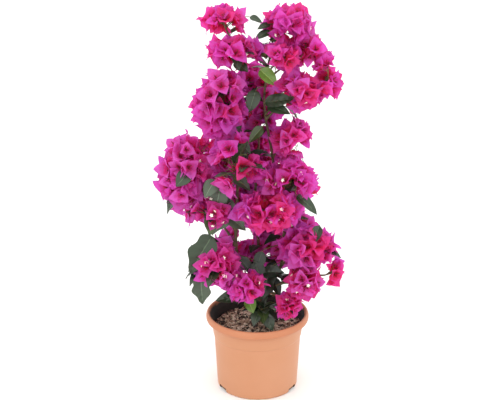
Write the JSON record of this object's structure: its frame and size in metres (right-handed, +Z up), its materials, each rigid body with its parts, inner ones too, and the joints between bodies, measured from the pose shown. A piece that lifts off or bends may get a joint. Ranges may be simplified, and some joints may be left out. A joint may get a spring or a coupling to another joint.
{
  "type": "potted bougainvillea bush",
  "caption": "Flowering bougainvillea bush with magenta bracts on branching stems, growing in a round terracotta-coloured plastic pot.",
  "frame": {"origin": "centre of the pot's flat underside, on the surface that it stands on", "axes": "+Z up, -Y towards the front of the bush, +X to the right of the front"},
  "size_m": [0.3467, 0.2796, 0.7116],
  "materials": {
    "pot": "satin moulded plastic",
    "soil": "moist peat",
    "bark": "matt bark",
    "blossom": "papery bracts",
    "leaf": "satin leaves"
  },
  "bodies": {
    "root": {"pot": "pot", "soil": "soil", "trunk": "bark", "stem_left": "bark", "stem_right": "bark", "stem_back": "bark", "bough_top_left": "bark", "bough_shoulder_right": "bark", "bough_tip_right_high": "bark", "bough_upper_middle": "bark", "bough_upper_right": "bark", "bough_left_shoulder": "bark", "bough_right_waist": "bark", "bough_left_side": "bark", "bough_middle_left": "bark", "bough_middle_right": "bark", "bough_middle": "bark", "bough_left_low": "bark", "bough_right_low": "bark", "bough_tip_right_low": "bark", "bough_right_bottom": "bark", "bough_left_bottom": "bark", "bough_left_leaves": "bark", "bough_front_bottom": "bark", "bough_right_foot": "bark", "bough_foot_leaves": "bark", "bough_back_bottom": "bark", "bough_back_low": "bark", "bough_back_middle": "bark", "bough_back_left": "bark", "bough_back_right": "bark", "mass_top_left": "blossom", "mass_top": "blossom", "mass_shoulder_right": "blossom", "mass_tip_right_high": "blossom", "mass_upper_middle": "blossom", "mass_upper_right": "blossom", "mass_upper_left": "blossom", "mass_left_shoulder": "blossom", "mass_right_waist": "blossom", "mass_left_side": "blossom", "mass_middle_left": "blossom", "mass_middle_right": "blossom", "mass_middle": "blossom", "mass_left_low": "blossom", "mass_right_low": "blossom", "mass_tip_right_low": "blossom", "mass_right_bottom": "blossom", "mass_left_bottom": "blossom", "mass_left_leaves": "leaf", "mass_front_bottom": "blossom", "mass_right_foot": "blossom", "mass_foot_leaves": "leaf", "mass_back_bottom": "blossom", "mass_back_low": "blossom", "mass_back_middle": "blossom", "mass_back_upper": "blossom", "mass_back_left": "blossom", "mass_back_right": "blossom"}
  },
  "joints": []
}
